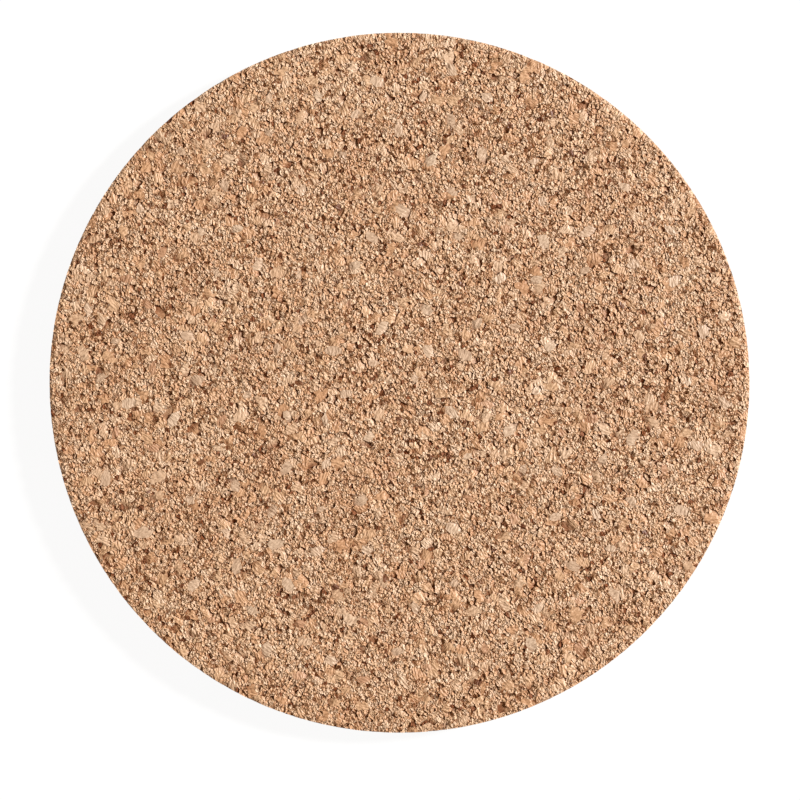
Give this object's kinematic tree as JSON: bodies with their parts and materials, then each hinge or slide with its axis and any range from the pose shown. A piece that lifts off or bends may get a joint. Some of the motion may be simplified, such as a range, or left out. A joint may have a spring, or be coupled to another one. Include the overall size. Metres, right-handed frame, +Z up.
{
  "type": "cork coaster",
  "caption": "Flat round drinks coaster die-cut from pressed cork granules, with larger pale, amber and bark granules set flush in both faces and the rim.",
  "frame": {"origin": "centre of the underside, on the surface that the coaster lies on", "axes": "+Z up out of the top face through the thickness; X and Y in the plane of the disc, with +Y the top of the picture"},
  "size_m": [0.1, 0.1, 0.004],
  "materials": {
    "bonded_cork": "matt pressed granules",
    "pale_cork": "matt cut cork",
    "amber_cork": "matt cut cork",
    "cork_bark": "matt rough bark"
  },
  "bodies": {
    "root": {"cork_body": "bonded_cork", "pale_granules_top": "pale_cork", "amber_granules_top": "amber_cork", "bark_granules_top": "cork_bark", "pale_granules_underside": "pale_cork", "amber_granules_underside": "amber_cork", "bark_granules_underside": "cork_bark", "pale_granules_rim": "pale_cork", "amber_granules_rim": "amber_cork", "bark_granules_rim": "cork_bark"}
  },
  "joints": []
}
